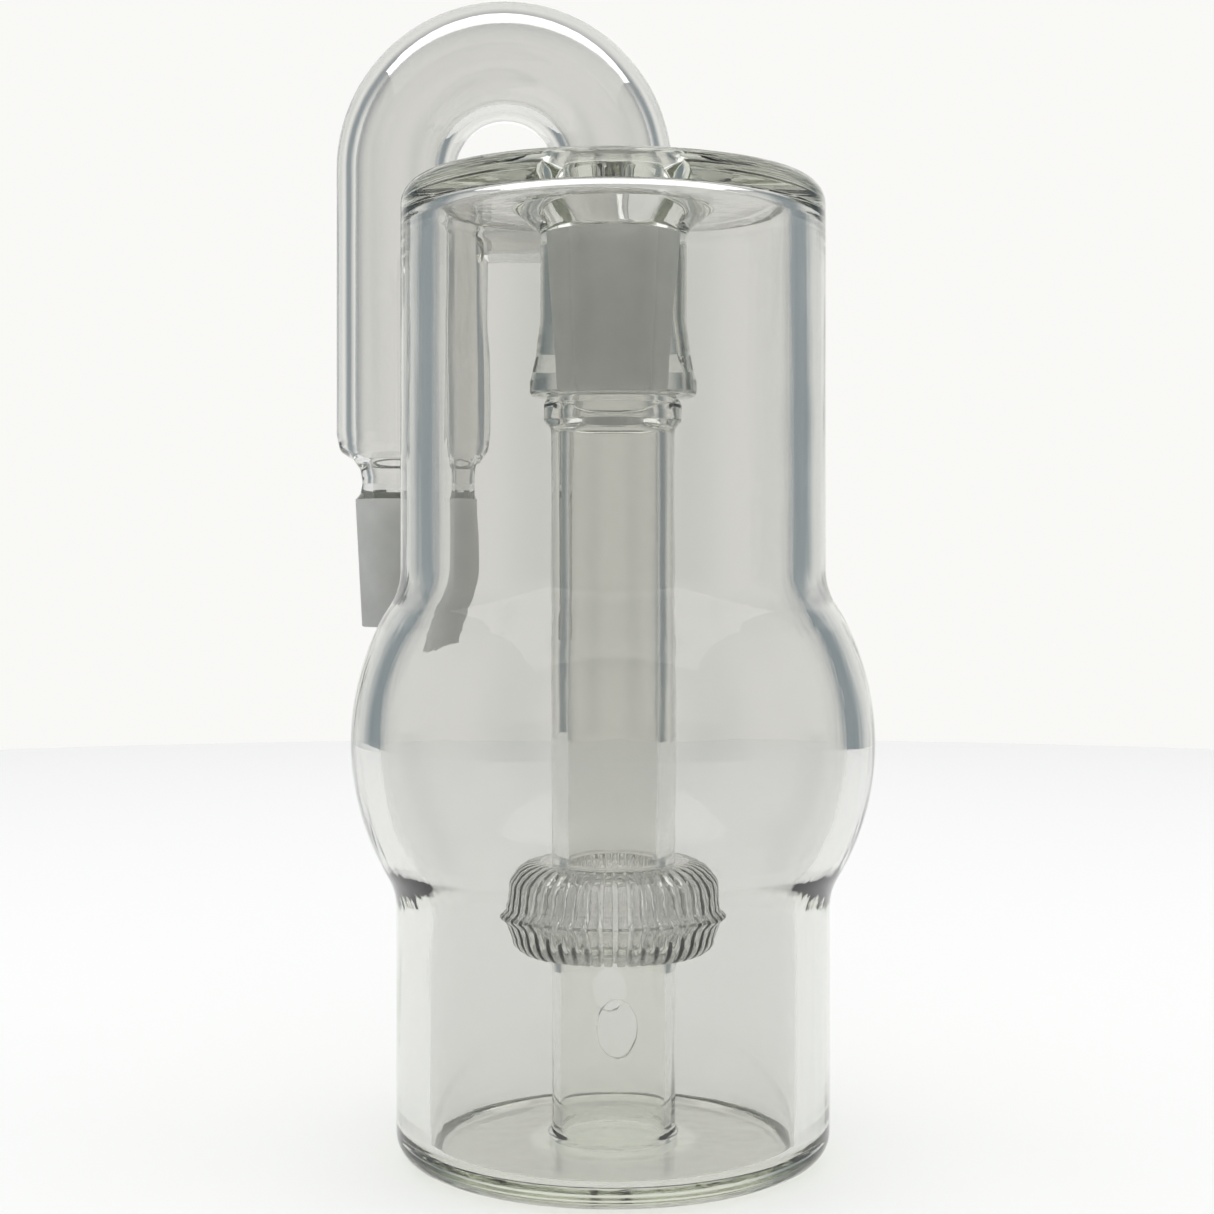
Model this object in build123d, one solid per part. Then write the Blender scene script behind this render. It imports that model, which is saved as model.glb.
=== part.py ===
"""In-line glass bubbler with two ground joints, built up from its fused glass pieces.

Millimetres. +Z is up, the body axis is Z and the origin is the centre of the base's underside.
The return arm rises behind the body, on +Y, and its hanging leg is on -X.
Neighbouring pieces meet face to face, as fused glass does, and none overlap.
"""

import os

from build123d import *

# Body
BODY_HEIGHT = 151.0
LOWER_TUBE_R = 33.7
UPPER_TUBE_R = 33.1
TUBE_WALL = 5.1
BASE_FLOOR = 2.6
TOP_THICKNESS = 4.2
RIM_ROUND = 4.0
INNER_ROUND = 2.8
BASE_CUP_HEIGHT = 7.0

# Blown bulb: a ball about a point on the body axis
BULB_Z = 64.0
BULB_R = 40.7
BULB_WALL = 4.4
LOWER_WELD_Z = (35.5, 43.5)
UPPER_WELD_Z = (86.0, 91.0)
WELD_BEAD = 0.8
LOWER_FLARE_START_Z = 38.2
UPPER_FLARE_END_Z = 89.7

# Ground joints: 14.5 mm at the wide end, narrowing 1 in 10
JOINT_D = 14.5
JOINT_TAPER = 0.1
MOUTH_R = 8.4
MOUTH_ROUND = 1.0

# Socket, from the top plate's underside down
SOCKET_R = 11.5
FUNNEL_R = 15.6
FUNNEL_BOTTOM_Z = 143.3
FLARE_START_Z = 127.9
LIP_R = 13.0
LIP_TOP_Z = 119.4
LIP_BOTTOM_Z = 117.4
GROUND_END_Z = 118.0
FUNNEL_SAG = 0.8
NECK_R = 10.0
BEAD_R = 10.8
BEAD_Z = 115.1

# Stem
STEM_R = 9.7
STEM_BORE_R = 7.1
STEM_TOP_Z = 112.4
STEM_BOTTOM_Z = 45.2

# Slotted diffuser at the foot of the stem
DIFFUSER_WALL = 2.0
SHOULDER_R = 12.4
DOME_R = 16.9
DOME_WIDEST_Z = 41.3
DIFFUSER_LIP_R = 17.8
DIFFUSER_LIP_Z = (37.1, 38.3)
DIFFUSER_BOTTOM_Z = 31.3
SLITS = 48
SLIT_WIDTH = 0.8
SAW_RUNOUT = 1.0
SOLID_MARGIN = 0.5
CROWN_KNEE = (2.8, 1.4)
CROWN_INNER_KNEE = (1.4, 0.7)
BOWL_KNEE = (2.1, 2.5)
BOWL_INNER_KNEE = (1.3, 1.6)
BOWL_STEP = 0.4

# Stub that carries the diffuser
STUB_R = 9.6
STUB_TOP_R = 10.4
STUB_BORE_R = 8.2
STUB_FLARE_Z = 27.5
FOOT_R = 10.3
FOOT_TOP_Z = 4.6
FOOT_SPREAD = 0.4
DRAIN_WIDTH = 5.9
DRAIN_HEIGHT = 8.9
DRAIN_TURN = 4.0
FRONT_DRAIN_Z = 21.2
REAR_DRAIN_Z = 24.5

# Return arm
ARM_R = 10.6
ARM_BORE_R = 7.3
ARM_Y = 47.0
PORT_Z = 139.2
ELBOW_R = 12.2
FLANGE_R = 13.4
FLANGE_DEPTH = 1.6
FLANGE_SLOPE = 14.0
BEND_Z = 161.8
BEND_R = 19.4
LEG_BOTTOM_Z = 113.7
BRIDGE_R = 7.5
BRIDGE_BORE_R = 5.2
BRIDGE_Z = 152.9

# Lower end of the leg
SHOULDER_BOTTOM_Z = 108.3
SHOULDER_KNEE = (1.0, 3.0)
SHOULDER_INNER_KNEE = (0.9, 1.2)
NECK_BORE_RISE = 2.0
ARM_NECK_R = 6.4
ARM_NECK_BORE_R = 4.2
CONE_TOP_Z = 103.0
CONE_LENGTH = 22.7
CONE_SHOULDER = 0.9

CEILING_Z = BODY_HEIGHT - TOP_THICKNESS
LOWER_BORE_R = LOWER_TUBE_R - TUBE_WALL
UPPER_BORE_R = UPPER_TUBE_R - TUBE_WALL
LEG_X = -2 * BEND_R
ELBOW_Y = ARM_Y - ELBOW_R
ELBOW_TOP_Z = PORT_Z + ELBOW_R


def turned(outline):
    """Turns a closed outline, drawn as radius and height, about the body axis."""
    return revolve(Plane.XZ * make_face(outline), Axis.Z)


def tube(outer_r, bore_r, low_z, high_z):
    """A plain length of tube on the body axis."""
    corners = [(bore_r, low_z), (outer_r, low_z), (outer_r, high_z), (bore_r, high_z)]
    return turned(Polyline(*corners, close=True))


def rod(radius, low_z, high_z):
    """A solid cylinder on the body axis."""
    return Pos(0, 0, low_z) * extrude(Circle(radius), high_z - low_z)


def ball_r(z, radius):
    """Radius of the bulb's surface at a height, for a ball of the given radius."""
    return (radius**2 - (z - BULB_Z) ** 2) ** 0.5


def socket_bore_r(z):
    """Radius of the socket's ground bore, which is at full size level with the ceiling."""
    return (JOINT_D - (CEILING_Z - z) * JOINT_TAPER) / 2


def base_plate():
    """Closed round-edged bottom, with a short upstand that the lower tube is fused to."""
    floor_r = LOWER_BORE_R - INNER_ROUND
    fillet_z = BASE_FLOOR + INNER_ROUND
    return turned(
        [
            Line((0, 0), (LOWER_TUBE_R - RIM_ROUND, 0)),
            RadiusArc((LOWER_TUBE_R - RIM_ROUND, 0), (LOWER_TUBE_R, RIM_ROUND), -RIM_ROUND),
            Line((LOWER_TUBE_R, RIM_ROUND), (LOWER_TUBE_R, BASE_CUP_HEIGHT)),
            Line((LOWER_TUBE_R, BASE_CUP_HEIGHT), (LOWER_BORE_R, BASE_CUP_HEIGHT)),
            Line((LOWER_BORE_R, BASE_CUP_HEIGHT), (LOWER_BORE_R, fillet_z)),
            RadiusArc((LOWER_BORE_R, fillet_z), (floor_r, BASE_FLOOR), INNER_ROUND),
            Line((floor_r, BASE_FLOOR), (0, BASE_FLOOR)),
            Line((0, BASE_FLOOR), (0, 0)),
        ]
    )


def lower_weld_ring():
    """Flared seam between the lower tube and the bulb, with a bead of glass inside."""
    low, high = LOWER_WELD_Z
    outer_top = (ball_r(high, BULB_R), high)
    inner_top = (ball_r(high, BULB_R - BULB_WALL), high)
    bead_low = (LOWER_BORE_R, low + WELD_BEAD)
    bead_high = (LOWER_BORE_R, LOWER_FLARE_START_Z + 2 * WELD_BEAD)
    bead_mid = (LOWER_BORE_R - WELD_BEAD, LOWER_FLARE_START_Z)
    return turned(
        [
            Line((LOWER_BORE_R, low), (LOWER_TUBE_R, low)),
            Line((LOWER_TUBE_R, low), (LOWER_TUBE_R, LOWER_FLARE_START_Z)),
            TangentArc((LOWER_TUBE_R, LOWER_FLARE_START_Z), outer_top, tangent=(0, 1)),
            Line(outer_top, inner_top),
            Line(inner_top, bead_high),
            ThreePointArc(bead_high, bead_mid, bead_low),
            Line(bead_low, (LOWER_BORE_R, low)),
        ]
    )


def bulb_band(low, high):
    """Band of the blown ball between two heights."""
    inner = BULB_R - BULB_WALL
    middle = (low + high) / 2
    outer_low = (ball_r(low, BULB_R), low)
    outer_high = (ball_r(high, BULB_R), high)
    inner_low = (ball_r(low, inner), low)
    inner_high = (ball_r(high, inner), high)
    return turned(
        [
            ThreePointArc(outer_low, (ball_r(middle, BULB_R), middle), outer_high),
            Line(outer_high, inner_high),
            ThreePointArc(inner_high, (ball_r(middle, inner), middle), inner_low),
            Line(inner_low, outer_low),
        ]
    )


def upper_weld_ring():
    """Seam where the bulb's crown is drawn in to the upper tube."""
    low, high = UPPER_WELD_Z
    outer_low = (ball_r(low, BULB_R), low)
    inner_low = (ball_r(low, BULB_R - BULB_WALL), low)
    outer_end = (UPPER_TUBE_R, UPPER_FLARE_END_Z)
    bead_mid = (UPPER_BORE_R - WELD_BEAD / 2, (low + high) / 2)
    return turned(
        [
            TangentArc(outer_end, outer_low, tangent=(0, -1)),
            Line(outer_end, (UPPER_TUBE_R, high)),
            Line((UPPER_TUBE_R, high), (UPPER_BORE_R, high)),
            ThreePointArc((UPPER_BORE_R, high), bead_mid, inner_low),
            Line(inner_low, outer_low),
        ]
    )


def upper_wall():
    """Upper tube, filleted inside under the top plate and pierced at the back by the arm's port."""
    fillet_z = CEILING_Z - INNER_ROUND
    wall = turned(
        [
            Line((UPPER_BORE_R, UPPER_WELD_Z[1]), (UPPER_TUBE_R, UPPER_WELD_Z[1])),
            Line((UPPER_TUBE_R, UPPER_WELD_Z[1]), (UPPER_TUBE_R, CEILING_Z)),
            Line((UPPER_TUBE_R, CEILING_Z), (UPPER_BORE_R - INNER_ROUND, CEILING_Z)),
            RadiusArc((UPPER_BORE_R - INNER_ROUND, CEILING_Z), (UPPER_BORE_R, fillet_z), INNER_ROUND),
            Line((UPPER_BORE_R, fillet_z), (UPPER_BORE_R, UPPER_WELD_Z[1])),
        ]
    )
    port = Plane((0, 0, PORT_Z), z_dir=(0, 1, 0)) * extrude(Circle(ARM_BORE_R), ARM_Y)
    return wall - port


def top_plate():
    """Flat top with a rounded outer edge and the socket's mouth in the middle."""
    edge_z = BODY_HEIGHT - RIM_ROUND
    mouth_top_r = MOUTH_R + MOUTH_ROUND
    mouth_z = BODY_HEIGHT - MOUTH_ROUND
    return turned(
        [
            Line((socket_bore_r(CEILING_Z), CEILING_Z), (UPPER_TUBE_R, CEILING_Z)),
            Line((UPPER_TUBE_R, CEILING_Z), (UPPER_TUBE_R, edge_z)),
            RadiusArc((UPPER_TUBE_R, edge_z), (UPPER_TUBE_R - RIM_ROUND, BODY_HEIGHT), -RIM_ROUND),
            Line((UPPER_TUBE_R - RIM_ROUND, BODY_HEIGHT), (mouth_top_r, BODY_HEIGHT)),
            RadiusArc((mouth_top_r, BODY_HEIGHT), (MOUTH_R, mouth_z), -MOUTH_ROUND),
            Line((MOUTH_R, mouth_z), (socket_bore_r(CEILING_Z), CEILING_Z)),
        ]
    )


def socket_funnel():
    """Weld flare that hangs the socket from the top plate."""
    middle = ((SOCKET_R + FUNNEL_R) / 2 - FUNNEL_SAG, (FUNNEL_BOTTOM_Z + CEILING_Z) / 2)
    return turned(
        [
            Line((socket_bore_r(CEILING_Z), CEILING_Z), (FUNNEL_R, CEILING_Z)),
            ThreePointArc((FUNNEL_R, CEILING_Z), middle, (SOCKET_R, FUNNEL_BOTTOM_Z)),
            Line((SOCKET_R, FUNNEL_BOTTOM_Z), (socket_bore_r(FUNNEL_BOTTOM_Z), FUNNEL_BOTTOM_Z)),
            Line((socket_bore_r(FUNNEL_BOTTOM_Z), FUNNEL_BOTTOM_Z), (socket_bore_r(CEILING_Z), CEILING_Z)),
        ]
    )


def socket_barrel():
    """Heavy barrel with the ground bore, flaring towards its lip."""
    return turned(
        [
            Line((socket_bore_r(FUNNEL_BOTTOM_Z), FUNNEL_BOTTOM_Z), (SOCKET_R, FUNNEL_BOTTOM_Z)),
            Line((SOCKET_R, FUNNEL_BOTTOM_Z), (SOCKET_R, FLARE_START_Z)),
            TangentArc((SOCKET_R, FLARE_START_Z), (LIP_R, LIP_TOP_Z), tangent=(0, -1)),
            Line((LIP_R, LIP_TOP_Z), (socket_bore_r(LIP_TOP_Z), LIP_TOP_Z)),
            Line((socket_bore_r(LIP_TOP_Z), LIP_TOP_Z), (socket_bore_r(FUNNEL_BOTTOM_Z), FUNNEL_BOTTOM_Z)),
        ]
    )


def socket_lip():
    """Rounded lip at the foot of the barrel, where the ground bore ends."""
    lip_round = (LIP_TOP_Z - LIP_BOTTOM_Z) / 2
    neck_bore_r = socket_bore_r(GROUND_END_Z)
    return turned(
        [
            Line((socket_bore_r(LIP_TOP_Z), LIP_TOP_Z), (LIP_R, LIP_TOP_Z)),
            Line((LIP_R, LIP_TOP_Z), (LIP_R, LIP_TOP_Z - lip_round)),
            RadiusArc((LIP_R, LIP_TOP_Z - lip_round), (LIP_R - lip_round, LIP_BOTTOM_Z), lip_round),
            Line((LIP_R - lip_round, LIP_BOTTOM_Z), (neck_bore_r, LIP_BOTTOM_Z)),
            Line((neck_bore_r, LIP_BOTTOM_Z), (neck_bore_r, GROUND_END_Z)),
            Line((neck_bore_r, GROUND_END_Z), (socket_bore_r(LIP_TOP_Z), LIP_TOP_Z)),
        ]
    )


def stem_collar():
    """Beaded weld between the socket's lip and the stem, opening out to the stem's bore."""
    return turned(
        [
            ThreePointArc((NECK_R, LIP_BOTTOM_Z), (BEAD_R, BEAD_Z), (STEM_R, STEM_TOP_Z)),
            Line((STEM_R, STEM_TOP_Z), (STEM_BORE_R, STEM_TOP_Z)),
            Line((STEM_BORE_R, STEM_TOP_Z), (socket_bore_r(GROUND_END_Z), LIP_BOTTOM_Z)),
            Line((socket_bore_r(GROUND_END_Z), LIP_BOTTOM_Z), (NECK_R, LIP_BOTTOM_Z)),
        ]
    )


def slits(low_z, high_z, inner_r):
    """Radial saw cuts all round the diffuser between two heights."""
    length = DIFFUSER_LIP_R + SAW_RUNOUT - inner_r
    middle_r = inner_r + length / 2
    blade = Pos(middle_r, 0, (low_z + high_z) / 2) * Box(length, SLIT_WIDTH, high_z - low_z)
    return [Rot(0, 0, turn * 360 / SLITS) * blade for turn in range(SLITS)]


def diffuser_shoulder():
    """Unslotted crown that joins the stem to the ribs."""
    low_z = STEM_BOTTOM_Z - DIFFUSER_WALL
    return turned(
        [
            Line((STEM_BORE_R, low_z), (STEM_BORE_R, STEM_BOTTOM_Z)),
            Line((STEM_BORE_R, STEM_BOTTOM_Z), (SHOULDER_R, STEM_BOTTOM_Z)),
            Line((SHOULDER_R, STEM_BOTTOM_Z), (SHOULDER_R, low_z)),
            Line((SHOULDER_R, low_z), (STEM_BORE_R, low_z)),
        ]
    )


def diffuser_dome():
    """Upper half of the diffuser: a rounded shell cut into ribs."""
    lip_z = DIFFUSER_LIP_Z[1]
    inner_r = DOME_R - DIFFUSER_WALL
    inner_z = STEM_BOTTOM_Z - DIFFUSER_WALL
    outer_knee = (SHOULDER_R + CROWN_KNEE[0], STEM_BOTTOM_Z - CROWN_KNEE[1])
    inner_knee = (SHOULDER_R + CROWN_INNER_KNEE[0], inner_z - CROWN_INNER_KNEE[1])
    shell = turned(
        [
            Line((SHOULDER_R, inner_z), (SHOULDER_R, STEM_BOTTOM_Z)),
            ThreePointArc((SHOULDER_R, STEM_BOTTOM_Z), outer_knee, (DOME_R, DOME_WIDEST_Z)),
            TangentArc((DOME_R, DOME_WIDEST_Z), (DIFFUSER_LIP_R, lip_z), tangent=(0, -1)),
            Line((DIFFUSER_LIP_R, lip_z), (inner_r, lip_z)),
            Line((inner_r, lip_z), (inner_r, DOME_WIDEST_Z)),
            ThreePointArc((inner_r, DOME_WIDEST_Z), inner_knee, (SHOULDER_R, inner_z)),
        ]
    )
    return shell - slits(lip_z, STEM_BOTTOM_Z + SAW_RUNOUT, SHOULDER_R + SOLID_MARGIN)


def diffuser_lip():
    """Whole ring at the diffuser's widest place, where its two halves are fused."""
    return tube(DIFFUSER_LIP_R, DOME_R - DIFFUSER_WALL, *DIFFUSER_LIP_Z)


def diffuser_bowl():
    """Lower half of the diffuser: a shallow slotted bowl down to the stub's top."""
    lip_z = DIFFUSER_LIP_Z[0]
    inner_r = DOME_R - DIFFUSER_WALL
    floor_z = DIFFUSER_BOTTOM_Z + DIFFUSER_WALL
    step_z = lip_z - BOWL_STEP
    outer_knee = (DOME_R - BOWL_KNEE[0], DIFFUSER_BOTTOM_Z + BOWL_KNEE[1])
    inner_knee = (inner_r - BOWL_INNER_KNEE[0], floor_z + BOWL_INNER_KNEE[1])
    shell = turned(
        [
            Line((inner_r, lip_z), (DIFFUSER_LIP_R, lip_z)),
            Line((DIFFUSER_LIP_R, lip_z), (DOME_R, step_z)),
            ThreePointArc((DOME_R, step_z), outer_knee, (STUB_TOP_R, DIFFUSER_BOTTOM_Z)),
            Line((STUB_TOP_R, DIFFUSER_BOTTOM_Z), (STUB_TOP_R, floor_z)),
            ThreePointArc((STUB_TOP_R, floor_z), inner_knee, (inner_r, lip_z)),
        ]
    )
    return shell - slits(DIFFUSER_BOTTOM_Z - SAW_RUNOUT, lip_z, STUB_TOP_R + SOLID_MARGIN)


def diffuser_floor():
    """Disc that closes the diffuser above the stub."""
    return rod(STUB_TOP_R, DIFFUSER_BOTTOM_Z, DIFFUSER_BOTTOM_Z + DIFFUSER_WALL)


def support_stub():
    """Short post under the diffuser with an oval drain hole in front and a higher one behind."""
    post = turned(
        [
            Line((STUB_BORE_R, FOOT_TOP_Z), (STUB_R, FOOT_TOP_Z)),
            Line((STUB_R, FOOT_TOP_Z), (STUB_R, STUB_FLARE_Z)),
            TangentArc((STUB_R, STUB_FLARE_Z), (STUB_TOP_R, DIFFUSER_BOTTOM_Z), tangent=(0, 1)),
            Line((STUB_TOP_R, DIFFUSER_BOTTOM_Z), (STUB_BORE_R, DIFFUSER_BOTTOM_Z)),
            Line((STUB_BORE_R, DIFFUSER_BOTTOM_Z), (STUB_BORE_R, FOOT_TOP_Z)),
        ]
    )
    hole = extrude(Plane.XZ * Ellipse(DRAIN_WIDTH / 2, DRAIN_HEIGHT / 2), 2 * STUB_R)
    front = Rot(0, 0, DRAIN_TURN) * Pos(0, 0, FRONT_DRAIN_Z) * hole
    rear = Rot(0, 0, DRAIN_TURN + 180) * Pos(0, 0, REAR_DRAIN_Z) * hole
    return post - front - rear


def stub_foot():
    """Bead of glass where the stub is fused to the floor."""
    spread_r = STUB_R + FOOT_SPREAD
    middle = (FOOT_R, (BASE_FLOOR + FOOT_TOP_Z) / 2)
    return turned(
        [
            Line((STUB_BORE_R, BASE_FLOOR), (spread_r, BASE_FLOOR)),
            ThreePointArc((spread_r, BASE_FLOOR), middle, (STUB_R, FOOT_TOP_Z)),
            Line((STUB_R, FOOT_TOP_Z), (STUB_BORE_R, FOOT_TOP_Z)),
            Line((STUB_BORE_R, FOOT_TOP_Z), (STUB_BORE_R, BASE_FLOOR)),
        ]
    )


def body_envelope():
    """The body's outside around the port, filled solid, to trim what is fused to it."""
    plate = top_plate() + rod(MOUTH_R + MOUTH_ROUND, CEILING_Z, BODY_HEIGHT)
    return plate + rod(UPPER_TUBE_R, UPPER_WELD_Z[1], CEILING_Z)


def arm_section(plane):
    """Ring section of the arm's tube on a plane."""
    return plane * (Circle(ARM_R) - Circle(ARM_BORE_R))


def elbow_turn(section):
    """Sweeps a section round the elbow's quarter turn."""
    corner = Plane((0, ELBOW_Y, PORT_Z), z_dir=(0, 1, 0))
    return revolve(corner * section, Axis((0, ELBOW_Y, ELBOW_TOP_Z), (1, 0, 0)), 90)


def arm_elbow():
    """Tube that leaves the back of the body level and turns straight up."""
    run = extrude(arm_section(Plane((0, 0, PORT_Z), z_dir=(0, 1, 0))), ELBOW_Y)
    turn = elbow_turn(Circle(ARM_R) - Circle(ARM_BORE_R))
    return (run + turn) - body_envelope()


def port_flange():
    """Weld fillet round the arm where it leaves the body."""
    wall_y = (UPPER_TUBE_R**2 - FLANGE_R**2) ** 0.5
    face_y = UPPER_TUBE_R + FLANGE_DEPTH
    root = Plane((0, wall_y, PORT_Z), z_dir=(0, 1, 0))
    fillet = root * extrude(Circle(FLANGE_R), face_y - wall_y, taper=FLANGE_SLOPE)
    below_top = Pos(0, ARM_Y, CEILING_Z - FLANGE_R) * Box(4 * FLANGE_R, 2 * ARM_Y, 2 * FLANGE_R)
    bore = root * extrude(Circle(ARM_R), ARM_Y)
    return (fillet & below_top) - bore - body_envelope()


def arm_riser():
    """Upright between the elbow and the bend."""
    return extrude(arm_section(Plane((0, ARM_Y, ELBOW_TOP_Z))), BEND_Z - ELBOW_TOP_Z)


def arm_bend(x, direction):
    """Quarter of the half-turn over the top of the arm, from an upright at x to the crest."""
    axis = Axis((-BEND_R, ARM_Y, BEND_Z), (0, direction, 0))
    return revolve(arm_section(Plane((x, ARM_Y, BEND_Z))), axis, 90)


def arm_leg():
    """Straight leg that hangs from the bend."""
    return extrude(arm_section(Plane((LEG_X, ARM_Y, LEG_BOTTOM_Z))), BEND_Z - LEG_BOTTOM_Z)


def arm_bridge():
    """Cross tube that ties the leg to the riser below the bend."""
    start = Plane((LEG_X, ARM_Y, BRIDGE_Z), z_dir=(1, 0, 0))
    bridge = extrude(start * (Circle(BRIDGE_R) - Circle(BRIDGE_BORE_R)), -LEG_X)
    tall = BODY_HEIGHT
    leg = Plane((LEG_X, ARM_Y, 0)) * extrude(Circle(ARM_R), 2 * tall)
    riser = Plane((0, ARM_Y, 0)) * extrude(Circle(ARM_R), 2 * tall)
    return bridge - leg - riser - elbow_turn(Circle(ARM_R))


def leg_piece(outline):
    """Turns an outline about the leg's axis."""
    return Pos(LEG_X, ARM_Y, 0) * turned(outline)


def leg_shoulder():
    """Rounded end of the leg, drawn in to the joint's neck."""
    knee = (ARM_R - SHOULDER_KNEE[0], LEG_BOTTOM_Z - SHOULDER_KNEE[1])
    inner_knee = (ARM_BORE_R - SHOULDER_INNER_KNEE[0], LEG_BOTTOM_Z - SHOULDER_INNER_KNEE[1])
    inner_end = (ARM_NECK_BORE_R, SHOULDER_BOTTOM_Z + NECK_BORE_RISE)
    return leg_piece(
        [
            Line((ARM_BORE_R, LEG_BOTTOM_Z), (ARM_R, LEG_BOTTOM_Z)),
            ThreePointArc((ARM_R, LEG_BOTTOM_Z), knee, (ARM_NECK_R, SHOULDER_BOTTOM_Z)),
            Line((ARM_NECK_R, SHOULDER_BOTTOM_Z), (ARM_NECK_BORE_R, SHOULDER_BOTTOM_Z)),
            Line((ARM_NECK_BORE_R, SHOULDER_BOTTOM_Z), inner_end),
            ThreePointArc(inner_end, inner_knee, (ARM_BORE_R, LEG_BOTTOM_Z)),
        ]
    )


def leg_neck():
    """Short plain neck above the ground cone."""
    low_z = CONE_TOP_Z + CONE_SHOULDER
    corners = [
        (ARM_NECK_BORE_R, low_z),
        (ARM_NECK_R, low_z),
        (ARM_NECK_R, SHOULDER_BOTTOM_Z),
        (ARM_NECK_BORE_R, SHOULDER_BOTTOM_Z),
    ]
    return leg_piece(Polyline(*corners, close=True))


def male_cone():
    """Ground cone, widest at its top, with a plain bore through it."""
    end_r = (JOINT_D - CONE_LENGTH * JOINT_TAPER) / 2
    low_z = CONE_TOP_Z - CONE_LENGTH
    corners = [
        (ARM_NECK_BORE_R, low_z),
        (end_r, low_z),
        (JOINT_D / 2, CONE_TOP_Z),
        (ARM_NECK_R, CONE_TOP_Z + CONE_SHOULDER),
        (ARM_NECK_BORE_R, CONE_TOP_Z + CONE_SHOULDER),
    ]
    return leg_piece(Polyline(*corners, close=True))


PIECES = {
    "base_plate": base_plate(),
    "lower_wall": tube(LOWER_TUBE_R, LOWER_BORE_R, BASE_CUP_HEIGHT, LOWER_WELD_Z[0]),
    "lower_weld_ring": lower_weld_ring(),
    "bulb_lower_wall": bulb_band(LOWER_WELD_Z[1], BULB_Z),
    "bulb_upper_wall": bulb_band(BULB_Z, UPPER_WELD_Z[0]),
    "upper_weld_ring": upper_weld_ring(),
    "upper_wall": upper_wall(),
    "top_plate": top_plate(),
    "socket_funnel": socket_funnel(),
    "socket_barrel": socket_barrel(),
    "socket_lip": socket_lip(),
    "stem_collar": stem_collar(),
    "stem_tube": tube(STEM_R, STEM_BORE_R, STEM_BOTTOM_Z, STEM_TOP_Z),
    "diffuser_shoulder": diffuser_shoulder(),
    "diffuser_dome": diffuser_dome(),
    "diffuser_lip": diffuser_lip(),
    "diffuser_bowl": diffuser_bowl(),
    "diffuser_floor": diffuser_floor(),
    "support_stub": support_stub(),
    "stub_foot": stub_foot(),
    "port_flange": port_flange(),
    "arm_elbow": arm_elbow(),
    "arm_riser": arm_riser(),
    "arm_bridge": arm_bridge(),
    "arm_bend_rise": arm_bend(0, -1),
    "arm_bend_fall": arm_bend(LEG_X, 1),
    "arm_leg": arm_leg(),
    "leg_shoulder": leg_shoulder(),
    "leg_neck": leg_neck(),
    "male_cone": male_cone(),
}

os.makedirs("parts", exist_ok=True)
for name, piece in PIECES.items():
    export_step(piece, f"parts/{name}.step")
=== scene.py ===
"""Looks of the glass bubbler: hand-blown clear glass with a ground socket and a ground cone.

Metres. The glass is made as the pieces that a glassblower joins: the body with its socket and stem,
the slotted diffuser, the stub that carries it, and the return arm at the back.
"""

import math

import bmesh
import bpy
from mathutils import Matrix, Vector


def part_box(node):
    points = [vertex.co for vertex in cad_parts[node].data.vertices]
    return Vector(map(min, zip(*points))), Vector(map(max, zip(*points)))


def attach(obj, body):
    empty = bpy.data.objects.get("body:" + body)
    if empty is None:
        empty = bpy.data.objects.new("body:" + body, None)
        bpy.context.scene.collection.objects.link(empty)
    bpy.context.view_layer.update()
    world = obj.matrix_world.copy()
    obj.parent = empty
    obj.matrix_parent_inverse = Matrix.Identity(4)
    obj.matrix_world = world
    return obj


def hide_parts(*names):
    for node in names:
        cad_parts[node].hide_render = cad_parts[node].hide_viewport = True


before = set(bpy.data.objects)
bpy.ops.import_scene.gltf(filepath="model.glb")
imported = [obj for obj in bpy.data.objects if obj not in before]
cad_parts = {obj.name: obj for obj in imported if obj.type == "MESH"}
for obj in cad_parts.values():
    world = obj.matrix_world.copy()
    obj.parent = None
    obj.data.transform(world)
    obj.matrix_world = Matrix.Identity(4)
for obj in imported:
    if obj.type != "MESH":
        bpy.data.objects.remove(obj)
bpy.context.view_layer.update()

# Turning
STEPS = 144
ARM_STEPS = 96
ROW = 0.006
ARC_STEPS = 7
SHARP_ANGLE = math.radians(38)
WELD_GAP = 0.00003
MERGE_DISTANCE = 1e-6

# Roundings and walls that a node's box doesn't give
RIM_ROUND = 0.004
INNER_ROUND = 0.0028
CREASE_ROUND = 0.010
CREASE_INNER_ROUND = 0.0145
CROWN_ROUND = 0.010
CROWN_INNER_ROUND = 0.0145
MOUTH_ROUND = 0.001
MOUTH_R = 0.0084
BULB_WALL = 0.0044
GROUND_SLOPE = 1 / 20
WELD_ROUND = 0.002
TIGHT_ROUND = 0.0003
LEG_ROUND = 0.0016
SWEEP_ROUND = 0.003

# How far the rounded creases keep the bulb's arc from the tubes: outside and inside, below and above
CREASE_CLEAR = 0.0036
CREASE_INNER_CLEAR = 0.0048
CROWN_CLEAR = 0.0040
CROWN_INNER_CLEAR = 0.0060

# Return arm: rows in the riser, the flare at the port as steps of depth and widening, and the ground cone
RISER_ROWS = 3
PORT_FLARE = ((0.0003, 1.12), (0.0008, 1.07), (0.0006, 1.03))
PORT_OVERHANG = 0.0001
CONE_SKIN = 0.0016
CONE_CHAMFER = 0.0014

# Ribs of the diffuser
RIBS = 48
STEPS_PER_RIB = STEPS // RIBS
SLOT_START = 0.9
DOME_ROUND = 0.0048
DOME_SHARE = 0.0020
RIB_CORNER = math.radians(50)
RIB_ROUND = 0.00016

# Studio light: straight behind, in front and to each side, on the diagonals between, and above
STRAIGHT_LIGHT = (0.95, 0.945, 0.925, 1)
DIAGONAL_LIGHT = (0.25, 0.295, 0.32, 1)
TOP_LIGHT = (0.42, 0.43, 0.44, 1)

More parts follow.
